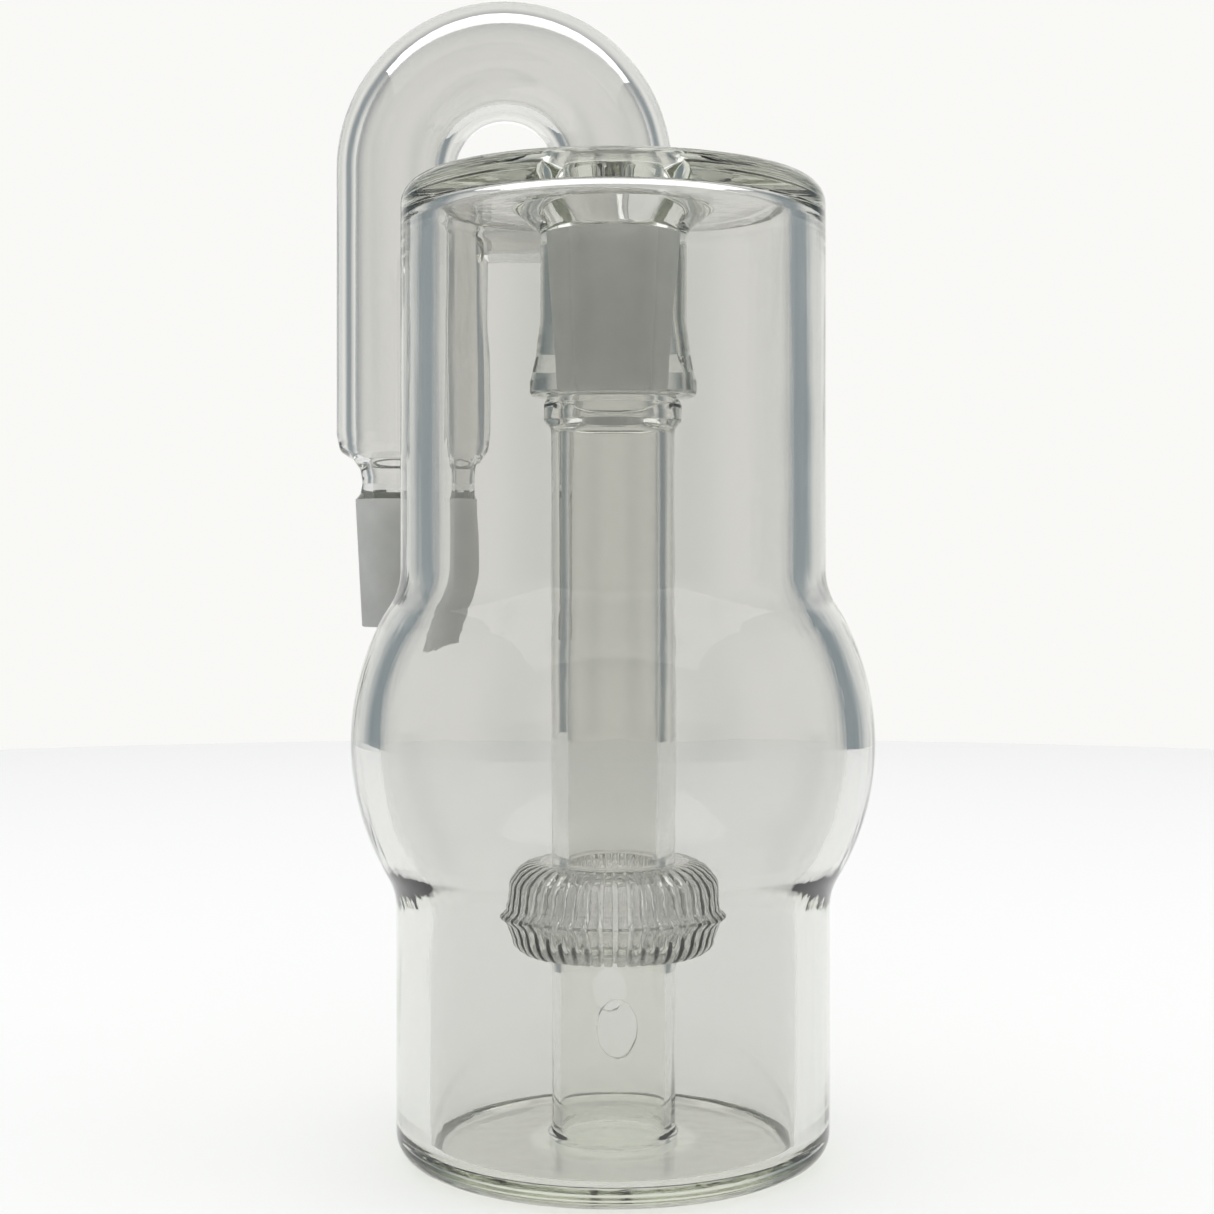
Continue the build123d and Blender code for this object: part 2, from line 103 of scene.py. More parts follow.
# Parts of a level direction along X or Y, and of any direction upward, between which the light changes
STRAIGHT_FROM, STRAIGHT_TO = 0.76, 0.957
UPWARD_FROM, UPWARD_TO = 0.3, 0.9

# Painted tone of the glass: on the vessel and arm a grey painted shade for the darker backdrop seen through
# them, and within CORE_R of the axis a paler painted light on the stem and the stub
SHELL_PAINTED_SHADE = (0.815, 0.812, 0.80, 1)
STEM_PAINTED_LIGHT = (0.86, 0.86, 0.84, 1)
STUB_PAINTED_LIGHT = (0.96, 0.965, 0.945, 1)
CORE_R = 0.0125
CORE_FADE = 0.001
STUB_FADE = 0.0004

# Glass: how it bends light, the green in its thickness, the light it lets through, and its waves
GLASS_IOR = 1.47
GLASS_TINT = (0.80, 0.83, 0.71, 1)
TINT_DENSITY = 12.0
SHADOW_TONE = (0.965, 0.968, 0.96, 1)
WAVE_DEPTH = 0.0002

# Ground glass: its darkest and palest tone, how much light goes in, and its grain
GROUND_DARK = (0.46, 0.465, 0.45, 1)
GROUND_PALE = (0.55, 0.555, 0.54, 1)
GROUND_CLEARNESS = 0.35
GRAIN_SCALE = 2600.0
GRAIN_STRENGTH = 0.35
GRAIN_DEPTH = 0.00004

# Table top
TABLE_R = 0.76
TABLE_SIDES = 128
TABLE_GAP = 0.0002
BOARD_TONE = (0.86, 0.86, 0.85, 1)
BOARD_ROUGHNESS = 0.7

# Camera, its lens in millimetres, and the lamp overhead
CAMERA_PLACE = (0, -0.3242, 0.0916)
LENS_LENGTH = 61.5
SENSOR_WIDTH = 36
SHIFT_X, SHIFT_Y = -0.005, -0.036
NEAREST = 0.01
LAMP_PLACE = (0.0, -0.1, 1.3)
LAMP_SIZE = (2.4, 2.4)
LAMP_POWER = 23.0

# Light bounces that the thick glass needs, and those that leave the ribs their dark lines
MOST_BOUNCES = 32
GLOSSY_BOUNCES = 12
THROUGH_BOUNCES = 12

# Drain holes in the stub: height, and -1 in front or 1 behind
DRAIN_SIZE = (0.0059, 0.0089)
DRAINS = ((0.0212, -1), (0.0245, 1))
DRAIN_TURN = math.radians(4)
DRAIN_STEPS = 48


def reach(node, x=0.0, y=0.0):
    """Nearest and farthest distance of a CAD node's surface from an upright axis."""
    spots = [math.hypot(v.co.x - x, v.co.y - y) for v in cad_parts[node].data.vertices]
    return min(spots), max(spots)


def span(node):
    """Lowest and highest height of a CAD node."""
    low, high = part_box(node)
    return low.z, high.z


def middle(node):
    """Centre of a CAD node's box."""
    low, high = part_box(node)
    return (low + high) / 2


LOWER_BORE, LOWER_R = reach("lower_wall")
WALL = LOWER_R - LOWER_BORE
UPPER_R = reach("upper_wall")[1]
UPPER_BORE = UPPER_R - WALL
FLOOR_Z = span("stub_foot")[0]
CEILING_Z, TOP_Z = span("top_plate")
BULB_R = reach("bulb_upper_wall")[1]
BULB_Z = span("bulb_upper_wall")[0]
BULB_BORE = BULB_R - BULB_WALL
STEM_BORE, STEM_R = reach("stem_tube")
STEM_LOW, STEM_HIGH = span("stem_tube")
STUB_TOP = span("support_stub")[1]
SOCKET_R = 0.0115
LIP_LOW, LIP_HIGH = span("socket_lip")
LIP_R = reach("socket_lip")[1]
FUNNEL_R = reach("socket_funnel")[1]
FUNNEL_LOW = span("socket_funnel")[0]
GROUND_TOP_R = 0.00725
GROUND_TOP_Z = FUNNEL_LOW + 0.0004
GROUND_LOW_R = reach("socket_lip")[0]
GROUND_LOW_Z = LIP_LOW + 0.0006
BEAD_R = reach("stem_collar")[1]
LEG = middle("arm_leg")
RISER = middle("arm_riser")
ARM_BORE, ARM_R = reach("arm_riser", RISER.x, RISER.y)
BEND_Z = span("arm_bend_rise")[0]
ELBOW_TOP = span("arm_riser")[0]
PORT_Z = span("arm_elbow")[0] + ARM_R


def rounded(corners):
    """Points of an outline through (radius, height, rounding) corners, with arcs at the rounded ones."""
    points = []
    for n, (r, z, rounding) in enumerate(corners):
        here = Vector((r, 0, z))
        if not rounding:
            points.append(here)
            continue
        before = Vector((corners[n - 1][0], 0, corners[n - 1][1])) - here
        after = Vector((corners[n + 1][0], 0, corners[n + 1][1])) - here
        half = before.angle(after) / 2
        centre = here + (before.normalized() + after.normalized()).normalized() * rounding / math.sin(half)
        start = here + before.normalized() * rounding / math.tan(half) - centre
        end = here + after.normalized() * rounding / math.tan(half) - centre
        for step in range(ARC_STEPS + 1):
            points.append(centre + start.slerp(end, step / ARC_STEPS) * rounding)
    return points


def in_rows(points):
    """The outline with its long straight stretches divided into rows."""
    rows = [points[0]]
    for start, end in zip(points, points[1:]):
        count = math.ceil((end - start).length / ROW)
        rows += [start.lerp(end, step / count) for step in range(1, count + 1)]
    return rows


def ball(radius, low, high, count=24):
    """Corners along the bulb's arc between two heights, from the first to the second."""
    first, last = (math.asin((z - BULB_Z) / radius) for z in (low, high))
    angles = [first + (last - first) * step / count for step in range(count + 1)]
    return [(radius * math.cos(a), BULB_Z + radius * math.sin(a), 0) for a in angles]


def turned(points, closed=False, x=0.0, y=0.0, steps=STEPS):
    """Spins an outline round an upright axis into a bmesh."""
    mesh = bmesh.new()
    verts = [mesh.verts.new((p.x + x, y, p.z)) for p in points]
    edges = [mesh.edges.new(pair) for pair in zip(verts, verts[1:])]
    if closed:
        edges.append(mesh.edges.new((verts[-1], verts[0])))
    bmesh.ops.spin(
        mesh, geom=verts + edges, cent=(x, y, 0), axis=(0, 0, 1),
        angle=math.tau, steps=steps, use_merge=True,
    )
    bmesh.ops.remove_doubles(mesh, verts=mesh.verts, dist=MERGE_DISTANCE)
    bmesh.ops.recalc_face_normals(mesh, faces=mesh.faces)
    return mesh


def placed(name, mesh, *finishes):
    """Makes a bmesh a smooth-shaded object with creases kept, and gives it its materials."""
    for face in mesh.faces:
        face.smooth = True
    for edge in mesh.edges:
        edge.smooth = edge.calc_face_angle(0) < SHARP_ANGLE
    data = bpy.data.meshes.new(name)
    mesh.to_mesh(data)
    mesh.free()
    piece = bpy.data.objects.new(name, data)
    bpy.context.scene.collection.objects.link(piece)
    for finish in finishes:
        data.materials.append(finish)
    return piece


def cut(mesh, cutters, operation="DIFFERENCE"):
    """Cuts cutter bmeshes out of a bmesh, or joins them to it, and frees the cutters."""
    for cutter in cutters:
        body, tool = placed("body", mesh), placed("tool", cutter)
        change = body.modifiers.new("change", "BOOLEAN")
        change.operation = operation
        change.solver = "EXACT"
        change.object = tool
        shaped = body.evaluated_get(bpy.context.evaluated_depsgraph_get())
        mesh = bmesh.new()
        mesh.from_mesh(shaped.to_mesh())
        for done in (body, tool):
            bpy.data.objects.remove(done)
    return mesh


def rod(radius, length, place, turn, steps=STEPS, squash=1.0):
    """A closed cylinder, made along Z, squashed across, then turned and placed."""
    mesh = bmesh.new()
    bmesh.ops.create_cone(
        mesh, cap_ends=True, segments=steps, radius1=radius, radius2=radius, depth=length
    )
    bmesh.ops.scale(mesh, vec=(1, squash, 1), verts=mesh.verts)
    bmesh.ops.transform(mesh, matrix=Matrix.Translation(place) @ turn, verts=mesh.verts)
    return mesh


# Body, socket and stem


def body_outline():
    """From the middle of the underside, up the outside, down the bore, and back inside to the floor."""
    lower_join = BULB_Z - math.sqrt(BULB_R**2 - LOWER_R**2)
    upper_join = BULB_Z + math.sqrt(BULB_R**2 - UPPER_R**2)
    lower_inner = BULB_Z - math.sqrt(BULB_BORE**2 - LOWER_BORE**2)
    upper_inner = BULB_Z + math.sqrt(BULB_BORE**2 - UPPER_BORE**2)
    outside = [
        (0, 0, 0),
        (LOWER_R, 0, RIM_ROUND),
        (LOWER_R, lower_join, CREASE_ROUND),
        *ball(BULB_R, lower_join + CREASE_CLEAR, upper_join - CROWN_CLEAR),
        (UPPER_R, upper_join, CROWN_ROUND),
        (UPPER_R, TOP_Z, RIM_ROUND),
        (MOUTH_R, TOP_Z, MOUTH_ROUND),
        (GROUND_TOP_R, CEILING_Z, 0),
        (GROUND_TOP_R - (CEILING_Z - GROUND_TOP_Z) * GROUND_SLOPE, GROUND_TOP_Z, 0),
    ]
    bore = [
        (GROUND_LOW_R, GROUND_LOW_Z, 0),
        (STEM_BORE, STEM_HIGH, WELD_ROUND),
        (STEM_BORE, STEM_LOW + WELD_GAP, 0),
    ]
    stem = [
        (STEM_R, STEM_LOW + WELD_GAP, 0),
        (STEM_R, STEM_HIGH, WELD_ROUND),
        (BEAD_R, STEM_HIGH + 0.0012, 0.0008),
        (BEAD_R, LIP_LOW - 0.0011, 0.0009),
        (BEAD_R - 0.0009, LIP_LOW, TIGHT_ROUND),
        (LIP_R, LIP_LOW, 0.0008),
        (LIP_R, LIP_HIGH + 0.0004, 0.0005),
        (SOCKET_R + 0.0007, LIP_HIGH + 0.004, 0.006),
        (SOCKET_R, LIP_HIGH + 0.0095, 0.01),
        (SOCKET_R, FUNNEL_LOW - 0.0004, 0.0018),
        (FUNNEL_R, CEILING_Z, 0.0009),
    ]
    inside = [
        (UPPER_BORE, CEILING_Z, INNER_ROUND),
        (UPPER_BORE, upper_inner, CROWN_INNER_ROUND),
        *ball(BULB_BORE, upper_inner - CROWN_INNER_CLEAR, lower_inner + CREASE_INNER_CLEAR),
        (LOWER_BORE, lower_inner, CREASE_INNER_ROUND),
        (LOWER_BORE, FLOOR_Z, INNER_ROUND),
        (0, FLOOR_Z, 0),
    ]
    return in_rows(rounded(outside + bore + stem + inside))


def make_body(clear, ground):
    """Thick-walled vessel with its bulb, flat top, ground socket and hanging stem."""
    mesh = turned(body_outline())
    port = rod(ARM_BORE, UPPER_R, (0, UPPER_R, PORT_Z), Matrix.Rotation(math.pi / 2, 4, "X"), ARM_STEPS)
    mesh = cut(mesh, [port])
    for face in mesh.faces:
        spot = face.calc_center_median()
        in_bore = math.hypot(spot.x, spot.y) < GROUND_TOP_R
        face.material_index = int(in_bore and GROUND_LOW_Z < spot.z < GROUND_TOP_Z)
    piece = placed("glass_body", mesh, clear, ground)
    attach(piece, "root")
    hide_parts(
        "base_plate", "lower_wall", "lower_weld_ring", "bulb_lower_wall", "bulb_upper_wall",
        "upper_weld_ring", "upper_wall", "top_plate",
        "socket_funnel", "socket_barrel", "socket_lip", "stem_collar", "stem_tube",
    )


# Diffuser


def diffuser_side(inset):
    """The slotted skin from foot to shoulder: a bowl, a lip and a dome, set in by a wall's thickness."""
    low, crown = span("diffuser_floor")[0] + inset, span("diffuser_shoulder")[1] - inset
    foot_r, shoulder_r = reach("diffuser_floor")[1], reach("diffuser_shoulder")[1] - DOME_SHARE
    side_r = reach("diffuser_dome")[1] - 0.0013 - inset
    lip_r, lip_z = reach("diffuser_lip")[1] - inset, middle("diffuser_lip").z
    return [
        (foot_r, low, 0),
        (side_r - 0.0012, low, 0.0032),
        (side_r + 0.0002, lip_z - 0.0014, 0.001),
        (lip_r, lip_z, 0.0004),
        (side_r + 0.0001, lip_z + 0.0018, 0.002),
        (side_r, crown, DOME_ROUND - inset * 0.6),
        (shoulder_r, crown, 0),
    ]


def make_diffuser(clear):
    """Hollow button cut into ribs all round."""
    low, crown = span("diffuser_floor")[0], span("diffuser_shoulder")[1]
    wall = span("diffuser_floor")[1] - low
    shoulder_r = reach("diffuser_shoulder")[1]
    outline = [(0, low, 0)] + diffuser_side(0) + [(STEM_BORE, crown, 0), (STEM_BORE, crown - wall, 0)]
    outline += diffuser_side(wall)[::-1] + [(0, low + wall, 0)]
    mesh = turned(rounded(outline))
    column_turn = math.tau / STEPS

    def column(spot):
        """Which of the columns of faces round the axis a place is in."""
        return int((math.atan2(spot.y, spot.x) % math.tau) / column_turn)

    def is_slot(face):
        """True for faces that the saw takes out: one column of each rib, between foot and shoulder."""
        spot = face.calc_center_median()
        return column(spot) % STEPS_PER_RIB == 0 and math.hypot(spot.x, spot.y) > shoulder_r * SLOT_START

    bmesh.ops.delete(mesh, geom=[face for face in mesh.faces if is_slot(face)], context="FACES")
    rims = {}
    for edge in mesh.edges:
        if edge.is_boundary:
            spot = (edge.verts[0].co + edge.verts[1].co) / 2
            turn = math.atan2(spot.y, spot.x) % math.tau
            rib = round(turn / column_turn / STEPS_PER_RIB - 0.5 / STEPS_PER_RIB) % RIBS
            rims.setdefault(rib, []).append(edge)
    for rim in rims.values():
        bmesh.ops.bridge_loops(mesh, edges=rim)
    bmesh.ops.recalc_face_normals(mesh, faces=mesh.faces)
    corners = [edge for edge in mesh.edges if edge.calc_face_angle(0) > RIB_CORNER]
    bmesh.ops.bevel(
        mesh, geom=corners, offset=RIB_ROUND, segments=2, profile=0.5, affect="EDGES", material=-1
    )
    piece = placed("diffuser", mesh, clear)
    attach(piece, "root")
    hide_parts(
        "diffuser_shoulder", "diffuser_dome", "diffuser_lip", "diffuser_bowl", "diffuser_floor"
    )


# Stub


def make_stub(clear):
    """Short post under the diffuser: an oval drain hole in front, one behind, and a bead at its foot."""
    bore, post_r = reach("support_stub")[0], STEM_R - 0.0001
    foot_low, foot_high = span("stub_foot")
    outline = [
        (bore, foot_low + WELD_GAP, 0),
        (post_r + 0.0003, foot_low + WELD_GAP, 0),
        (post_r + 0.0005, foot_low + 0.0010, 0.0005),
        (post_r, foot_high, 0.0012),
        (post_r, STUB_TOP - 0.0026, 0.006),
        (post_r + 0.0004, STUB_TOP - 0.0006, 0.0006),
        (post_r + 0.0003, STUB_TOP - WELD_GAP, 0),
        (bore, STUB_TOP - WELD_GAP, 0),
    ]
    mesh = turned(in_rows(rounded(outline)), closed=True)
    width, height = DRAIN_SIZE
    flat = Matrix.Rotation(math.pi / 2, 4, "X")
    cutters = []
    for z, side in DRAINS:
        placing = Matrix.Rotation(DRAIN_TURN, 4, "Z") @ Matrix.Translation((0, side * post_r, 0)) @ flat
        cutters.append(rod(width / 2, post_r, (0, 0, z), placing, DRAIN_STEPS, height / width))
    mesh = cut(mesh, cutters)
    piece = placed("support_post", mesh, clear)
    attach(piece, "root")
    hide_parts("support_stub", "stub_foot")


# Return arm


def leg_outline():
    """From the leg's bore at the bend, down the inside to the cone's end, and back up the outside."""
    neck_bore, neck_r = reach("leg_neck", LEG.x, LEG.y)
    neck_high = span("leg_neck")[1]
    cone_low, cone_top = span("male_cone")
    cone_r = reach("male_cone", LEG.x, LEG.y)[1]
    cone_end_r = cone_r - (cone_top - cone_low) * GROUND_SLOPE
    leg_low = span("arm_leg")[0]
    return [
        (ARM_BORE, BEND_Z, 0),
        (ARM_BORE, leg_low - 0.0012, LEG_ROUND),
        (neck_bore + 0.0006, neck_high + 0.0022, LEG_ROUND),
        (neck_bore, neck_high - 0.001, LEG_ROUND),
        (neck_bore, cone_low, 0),
        (cone_end_r, cone_low, TIGHT_ROUND),
        (cone_r, cone_top - 0.0009, 0),
        (neck_r, cone_top + 0.0001, 0.0006),
        (neck_r - 0.0004, cone_top + 0.0022, SWEEP_ROUND),
        (neck_r, neck_high, LEG_ROUND),
        (ARM_R - 0.0030, neck_high + 0.0018, LEG_ROUND),
        (ARM_R - 0.0006, leg_low - 0.0022, 0.002),
        (ARM_R, leg_low + 0.001, SWEEP_ROUND),
        (ARM_R, BEND_Z, 0),
    ]


def wall_y(x, z):
    """How far back the body's outer wall stands at a place beside the port."""
    over = max(0.0, z - (TOP_Z - RIM_ROUND))
    wall_r = UPPER_R - RIM_ROUND + math.sqrt(max(0.0, RIM_ROUND**2 - over**2))
    return math.sqrt(wall_r**2 - x**2)


def ring_parts(found):
    """Edges among what an operator gives back."""
    return [part for part in found if isinstance(part, bmesh.types.BMEdge)]


def drawn(mesh, rim, move):
    """Extrudes a rim of edges by a vector and gives back the new rim."""
    found = bmesh.ops.extrude_edge_only(mesh, edges=rim)["geom"]
    verts = [part for part in found if isinstance(part, bmesh.types.BMVert)]
    bmesh.ops.translate(mesh, vec=move, verts=verts)
    fresh = set(verts)
    return [edge for edge in ring_parts(found) if fresh.issuperset(edge.verts)]


def make_arm(clear, ground):
    """Tube from the body's back, up, over in a half turn, and down to the ground cone."""
    mesh = turned(in_rows(rounded(leg_outline())), x=LEG.x, y=LEG.y, steps=ARM_STEPS)
    rim = [edge for edge in mesh.edges if edge.is_boundary]
    for cent, axis, angle, steps in (
        (((LEG.x + RISER.x) / 2, LEG.y, BEND_Z), (0, 1, 0), math.pi, ARM_STEPS // 2),
        ((RISER.x, PORT_Z, 0), (1, 0, 0), -math.pi / 2, ARM_STEPS // 4),
    ):
        if axis == (1, 0, 0):
            for _ in range(RISER_ROWS):
                rim = drawn(mesh, rim, (0, 0, (ELBOW_TOP - BEND_Z) / RISER_ROWS))
            cent = (RISER.x, RISER.y - (ELBOW_TOP - PORT_Z), ELBOW_TOP)
        verts = list({vert for edge in rim for vert in edge.verts})
        last = bmesh.ops.spin(
            mesh, geom=verts + rim, cent=cent, axis=axis, angle=angle, steps=steps, use_merge=False
        )["geom_last"]
        rim = ring_parts(last)
    centre = Vector((RISER.x, 0, PORT_Z))
    for depth, widen in PORT_FLARE:
        rim = drawn(mesh, rim, (0, -depth, 0))
        verts = list({vert for edge in rim for vert in edge.verts})
        for vert in verts:
            across = Vector((vert.co.x, 0, vert.co.z)) - centre
            if across.length > (ARM_R + ARM_BORE) / 2:
                vert.co += across * (widen - 1)
                vert.co.z = min(vert.co.z, PORT_Z + ARM_R + PORT_OVERHANG)
    for vert in verts:
        vert.co.y = wall_y(vert.co.x, vert.co.z) + WELD_GAP
    bmesh.ops.bridge_loops(mesh, edges=rim)
    bmesh.ops.remove_doubles(mesh, verts=mesh.verts, dist=MERGE_DISTANCE)
    bmesh.ops.recalc_face_normals(mesh, faces=mesh.faces)

    cone_low, cone_top = span("male_cone")
    cone_r = reach("male_cone", LEG.x, LEG.y)[1]
    for face in mesh.faces:
        spot = face.calc_center_median()
        r = math.hypot(spot.x - LEG.x, spot.y - LEG.y)
        on_cone = r > cone_r - CONE_SKIN and cone_low < spot.z < cone_top - CONE_CHAMFER
        face.material_index = int(on_cone)

    bridge_low, bridge_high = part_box("arm_bridge")
    bridge_r = (bridge_high.z - bridge_low.z) / 2
    sideways = Matrix.Rotation(math.pi / 2, 4, "Y")
    heart = Vector(((LEG.x + RISER.x) / 2, LEG.y, (bridge_low.z + bridge_high.z) / 2))
    apart = RISER.x - LEG.x
    wall = (ARM_R - ARM_BORE) / 2
    mesh = cut(mesh, [rod(bridge_r, apart - 2 * (ARM_R - wall), heart, sideways, ARM_STEPS)], "UNION")
    mesh = cut(mesh, [rod(bridge_r - wall, apart - 2 * (ARM_R + wall / 4), heart, sideways, ARM_STEPS)])
    piece = placed("return_arm", mesh, clear, ground)
    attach(piece, "root")
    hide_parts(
        "port_flange", "arm_elbow", "arm_riser", "arm_bridge", "arm_bend_rise", "arm_bend_fall",
        "arm_leg", "leg_shoulder", "leg_neck", "male_cone",
    )


# Finishes


def add(tree, kind, **inputs):
    """Adds a shader node and sets the named inputs, with _ for a space."""
    made = tree.nodes.new(kind)
    for name, value in inputs.items():
        made.inputs[name.replace("_", " ")].default_value = value
    return made


def new_group(name, inputs, outputs):
    """An empty node group with named float inputs and typed outputs."""
    tree = bpy.data.node_groups.new(name, "ShaderNodeTree")
    for socket in inputs:
        tree.interface.new_socket(socket, in_out="INPUT", socket_type="NodeSocketFloat")
    for socket, kind in outputs.items():
        tree.interface.new_socket(socket, in_out="OUTPUT", socket_type=kind)
    return tree, tree.nodes.new("NodeGroupInput"), tree.nodes.new("NodeGroupOutput")


def waves_and_painted_light_group():
    """Slow waves and drawn lines of hand-worked tube, as a height, and a painted tone: grey painted shade
    on the shell, paler painted light towards the axis.
    """
    tree, given, put = new_group(
        "waves_and_painted_light", ["Waves", "Lines"], {"Height": "NodeSocketFloat", "Tone": "NodeSocketColor"}
    )
    place = add(tree, "ShaderNodeTexCoord")
    waves = add(tree, "ShaderNodeTexNoise", Scale=45.0, Detail=1.0, Roughness=0.4)
    stretch = add(tree, "ShaderNodeMapping", Scale=(1.0, 1.0, 0.06))
    lines = add(tree, "ShaderNodeTexNoise", Scale=320.0, Detail=2.0, Roughness=0.5)
    tall = add(tree, "ShaderNodeMath")
    tall.operation = "MULTIPLY"
    fine = add(tree, "ShaderNodeMath")
    fine.operation = "MULTIPLY_ADD"
    across = add(tree, "ShaderNodeVectorMath")
    across.operation = "MULTIPLY"
    across.inputs[1].default_value = (1, 1, 0)
    off_axis = add(tree, "ShaderNodeVectorMath")
    off_axis.operation = "LENGTH"
    outer = add(tree, "ShaderNodeMapRange", From_Min=CORE_R, From_Max=CORE_R + CORE_FADE)
    split = add(tree, "ShaderNodeSeparateXYZ")
    above = add(tree, "ShaderNodeMapRange", From_Min=STUB_TOP, From_Max=STUB_TOP + STUB_FADE)
    # Painted tone: grey painted shade on the shell, paler painted light on the stem, and palest painted
    # light on the stub below STUB_TOP
    core, tone = tree.nodes.new("ShaderNodeMix"), tree.nodes.new("ShaderNodeMix")
    core.data_type = tone.data_type = "RGBA"
    core.inputs["A"].default_value = STUB_PAINTED_LIGHT
    core.inputs["B"].default_value = STEM_PAINTED_LIGHT
    tone.inputs["B"].default_value = SHELL_PAINTED_SHADE
    links = tree.links
    links.new(place.outputs["Object"], waves.inputs["Vector"])
    links.new(place.outputs["Object"], stretch.inputs["Vector"])
    links.new(stretch.outputs["Vector"], lines.inputs["Vector"])
    links.new(waves.outputs["Fac"], tall.inputs[0])
    links.new(given.outputs["Waves"], tall.inputs[1])
    links.new(lines.outputs["Fac"], fine.inputs[0])
    links.new(given.outputs["Lines"], fine.inputs[1])
    links.new(tall.outputs["Value"], fine.inputs[2])
    links.new(place.outputs["Object"], across.inputs[0])
    links.new(across.outputs["Vector"], off_axis.inputs[0])
    links.new(off_axis.outputs["Value"], outer.inputs["Value"])
    links.new(place.outputs["Object"], split.inputs["Vector"])
    links.new(split.outputs["Z"], above.inputs["Value"])
    links.new(above.outputs["Result"], core.inputs["Factor"])
    links.new(core.outputs["Result"], tone.inputs["A"])
    links.new(outer.outputs["Result"], tone.inputs["Factor"])
    links.new(fine.outputs["Value"], put.inputs["Height"])
    links.new(tone.outputs["Result"], put.inputs["Tone"])
    return tree


def grinding_group():
    """Fine even grain of ground glass with slow cloudy patches."""
    tree, given, put = new_group(
        "grinding",
        ["Grain"],
        {"Color": "NodeSocketColor", "Roughness": "NodeSocketFloat", "Height": "NodeSocketFloat"},
    )
    place = add(tree, "ShaderNodeTexCoord")
    grain = add(tree, "ShaderNodeTexNoise", Detail=2.0, Roughness=0.6)
    clouds = add(tree, "ShaderNodeTexNoise", Scale=160.0, Detail=3.0, Roughness=0.55)
    tone = add(tree, "ShaderNodeValToRGB")
    tone.color_ramp.elements[0].position = 0.3
    tone.color_ramp.elements[0].color = GROUND_DARK
    tone.color_ramp.elements[1].position = 0.72
    tone.color_ramp.elements[1].color = GROUND_PALE
    rough = add(tree, "ShaderNodeMapRange", To_Min=0.62, To_Max=0.85)
    tree.links.new(place.outputs["Object"], grain.inputs["Vector"])
    tree.links.new(given.outputs["Grain"], grain.inputs["Scale"])
    tree.links.new(place.outputs["Object"], clouds.inputs["Vector"])
    tree.links.new(clouds.outputs["Fac"], tone.inputs["Fac"])
    tree.links.new(clouds.outputs["Fac"], rough.inputs["Value"])
    tree.links.new(tone.outputs["Color"], put.inputs["Color"])
    tree.links.new(rough.outputs["Result"], put.inputs["Roughness"])
    tree.links.new(grain.outputs["Fac"], put.inputs["Height"])
    return tree


def new_material(name):
    """A material with an empty tree, its output and a Principled shader."""
    material = bpy.data.materials.new(name)
    material.use_nodes = True
    tree = material.node_tree
    tree.nodes.clear()
    output, shader = tree.nodes.new("ShaderNodeOutputMaterial"), tree.nodes.new("ShaderNodeBsdfPrincipled")
    return material, tree, output, shader


def use_group(tree, group, **inputs):
    """Places a shared group in a material with its own values."""
    made = tree.nodes.new("ShaderNodeGroup")
    made.node_tree = group
    for name, value in inputs.items():
        made.inputs[name].default_value = value
    return made


def glass_material(name, blown, waves, lines):
    """Clear glass: pale grey surfaces whose grey is painted shade, paler towards the axis as painted light,
    a faint green in its thickness, and light let through to shadows.
    """
    material, tree, output, glass = new_material(name)
    glass.inputs["Roughness"].default_value = 0.0
    glass.inputs["IOR"].default_value = GLASS_IOR
    glass.inputs["Transmission Weight"].default_value = 1.0
    worked = use_group(tree, blown, Waves=waves, Lines=lines)
    bump = add(tree, "ShaderNodeBump", Strength=1.0, Distance=WAVE_DEPTH)
    passing = add(tree, "ShaderNodeBsdfTransparent", Color=SHADOW_TONE)
    ray = tree.nodes.new("ShaderNodeLightPath")
    choose = tree.nodes.new("ShaderNodeMixShader")
    body = add(tree, "ShaderNodeVolumeAbsorption", Color=GLASS_TINT, Density=TINT_DENSITY)
    # The group's tone paints shade and light into the glass's base colour
    tree.links.new(worked.outputs["Tone"], glass.inputs["Base Color"])
    tree.links.new(worked.outputs["Height"], bump.inputs["Height"])
    tree.links.new(bump.outputs["Normal"], glass.inputs["Normal"])
    tree.links.new(ray.outputs["Is Shadow Ray"], choose.inputs["Fac"])
    tree.links.new(glass.outputs["BSDF"], choose.inputs[1])
    tree.links.new(passing.outputs["BSDF"], choose.inputs[2])
    tree.links.new(choose.outputs["Shader"], output.inputs["Surface"])
    tree.links.new(body.outputs["Volume"], output.inputs["Volume"])
    return material


def ground_material(grinding):
    """Ground glass: matt grey, a little light coming through, with a fine even grain."""
    material, tree, output, glass = new_material("ground_glass")
    glass.inputs["IOR"].default_value = GLASS_IOR
    glass.inputs["Transmission Weight"].default_value = GROUND_CLEARNESS
    finish = use_group(tree, grinding, Grain=GRAIN_SCALE)
    bump = add(tree, "ShaderNodeBump", Strength=GRAIN_STRENGTH, Distance=GRAIN_DEPTH)
    tree.links.new(finish.outputs["Color"], glass.inputs["Base Color"])
    tree.links.new(finish.outputs["Roughness"], glass.inputs["Roughness"])
    tree.links.new(finish.outputs["Height"], bump.inputs["Height"])
    tree.links.new(bump.outputs["Normal"], glass.inputs["Normal"])
    tree.links.new(glass.outputs["BSDF"], output.inputs["Surface"])
    return material


def floor_material():
    """Plain pale matt board."""
    material, tree, output, board = new_material("pale_board")
    board.inputs["Base Color"].default_value = BOARD_TONE
    board.inputs["Roughness"].default_value = BOARD_ROUGHNESS
    tree.links.new(board.outputs["BSDF"], output.inputs["Surface"])
    return material


# Stage, light and camera


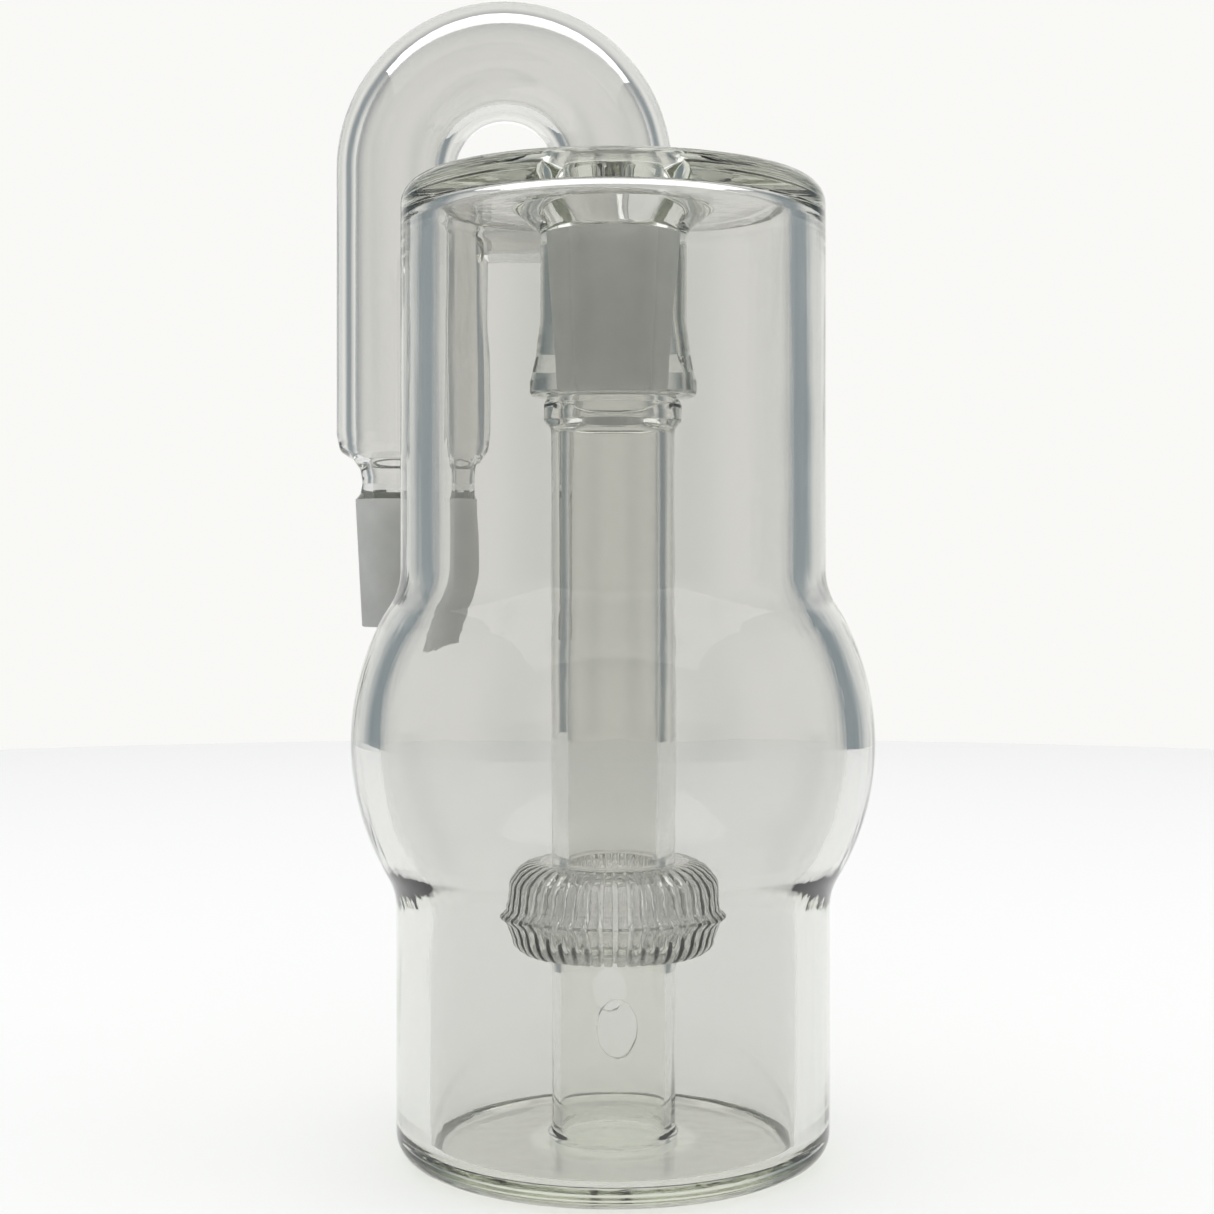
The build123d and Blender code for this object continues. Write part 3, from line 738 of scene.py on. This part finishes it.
def make_stage():
    """Round pale table top, with the room's soft light as the world."""
    mesh = bmesh.new()
    bmesh.ops.create_circle(mesh, cap_ends=True, segments=TABLE_SIDES, radius=TABLE_R)
    board = placed("table_top", mesh, floor_material())
    board.location.z = -TABLE_GAP

    world = bpy.data.worlds.new("studio")
    bpy.context.scene.world = world
    world.use_nodes = True
    tree = world.node_tree
    tree.nodes.clear()
    output = tree.nodes.new("ShaderNodeOutputWorld")
    light = tree.nodes.new("ShaderNodeBackground")
    place = tree.nodes.new("ShaderNodeTexCoord")
    level = add(tree, "ShaderNodeVectorMath")
    level.operation = "MULTIPLY"
    level.inputs[1].default_value = (1, 1, 0)
    unit = add(tree, "ShaderNodeVectorMath")
    unit.operation = "NORMALIZE"
    size = add(tree, "ShaderNodeVectorMath")
    size.operation = "ABSOLUTE"
    split, rise = tree.nodes.new("ShaderNodeSeparateXYZ"), tree.nodes.new("ShaderNodeSeparateXYZ")
    most = tree.nodes.new("ShaderNodeMath")
    most.operation = "MAXIMUM"
    ahead = add(tree, "ShaderNodeMapRange", From_Min=STRAIGHT_FROM, From_Max=STRAIGHT_TO)
    upward = add(tree, "ShaderNodeMapRange", From_Min=UPWARD_FROM, From_Max=UPWARD_TO)
    ahead.interpolation_type = upward.interpolation_type = "SMOOTHSTEP"
    round_tone, tone = tree.nodes.new("ShaderNodeMix"), tree.nodes.new("ShaderNodeMix")
    round_tone.data_type = tone.data_type = "RGBA"
    round_tone.inputs["A"].default_value = DIAGONAL_LIGHT
    round_tone.inputs["B"].default_value = STRAIGHT_LIGHT
    tone.inputs["B"].default_value = TOP_LIGHT
    links = tree.links
    links.new(place.outputs["Generated"], level.inputs[0])
    links.new(level.outputs["Vector"], unit.inputs[0])
    links.new(unit.outputs["Vector"], size.inputs[0])
    links.new(size.outputs["Vector"], split.inputs["Vector"])
    links.new(split.outputs["X"], most.inputs[0])
    links.new(split.outputs["Y"], most.inputs[1])
    links.new(most.outputs["Value"], ahead.inputs["Value"])
    links.new(ahead.outputs["Result"], round_tone.inputs["Factor"])
    links.new(round_tone.outputs["Result"], tone.inputs["A"])
    links.new(place.outputs["Generated"], rise.inputs["Vector"])
    links.new(rise.outputs["Z"], upward.inputs["Value"])
    links.new(upward.outputs["Result"], tone.inputs["Factor"])
    links.new(tone.outputs["Result"], light.inputs["Color"])
    links.new(light.outputs["Background"], output.inputs["Surface"])


def softbox(name, place, aim, size, power):
    """Rectangular soft light pointed at a spot and hidden from reflections."""
    lamp = bpy.data.lights.new(name, "AREA")
    lamp.shape = "RECTANGLE"
    lamp.size, lamp.size_y = size
    lamp.energy = power
    holder = bpy.data.objects.new(name, lamp)
    holder.location = place
    holder.visible_glossy = False
    holder.rotation_euler = (Vector(aim) - Vector(place)).to_track_quat("-Z", "Y").to_euler()
    bpy.context.scene.collection.objects.link(holder)


def make_camera():
    """Level camera in front of the body."""
    lens = bpy.data.cameras.new("camera")
    lens.lens = LENS_LENGTH
    lens.sensor_width = SENSOR_WIDTH
    lens.shift_x = SHIFT_X
    lens.shift_y = SHIFT_Y
    lens.clip_start = NEAREST
    camera = bpy.data.objects.new("camera", lens)
    camera.location = CAMERA_PLACE
    camera.rotation_euler = (math.pi / 2, 0, 0)
    bpy.context.scene.collection.objects.link(camera)
    bpy.context.scene.camera = camera


bpy.context.scene.view_settings.view_transform = "Standard"
bpy.context.scene.cycles.max_bounces = MOST_BOUNCES
bpy.context.scene.cycles.glossy_bounces = GLOSSY_BOUNCES
bpy.context.scene.cycles.transmission_bounces = THROUGH_BOUNCES
make_camera()
make_stage()
softbox("overhead", LAMP_PLACE, (0, 0, 0), LAMP_SIZE, LAMP_POWER)

blown = waves_and_painted_light_group()
clear_glass = glass_material("clear_glass", blown, waves=1.0, lines=0.12)
ribbed_glass = glass_material("ribbed_glass", blown, waves=0.5, lines=0.1)
ground_glass = ground_material(grinding_group())

make_body(clear_glass, ground_glass)
make_diffuser(ribbed_glass)
make_stub(clear_glass)
make_arm(clear_glass, ground_glass)
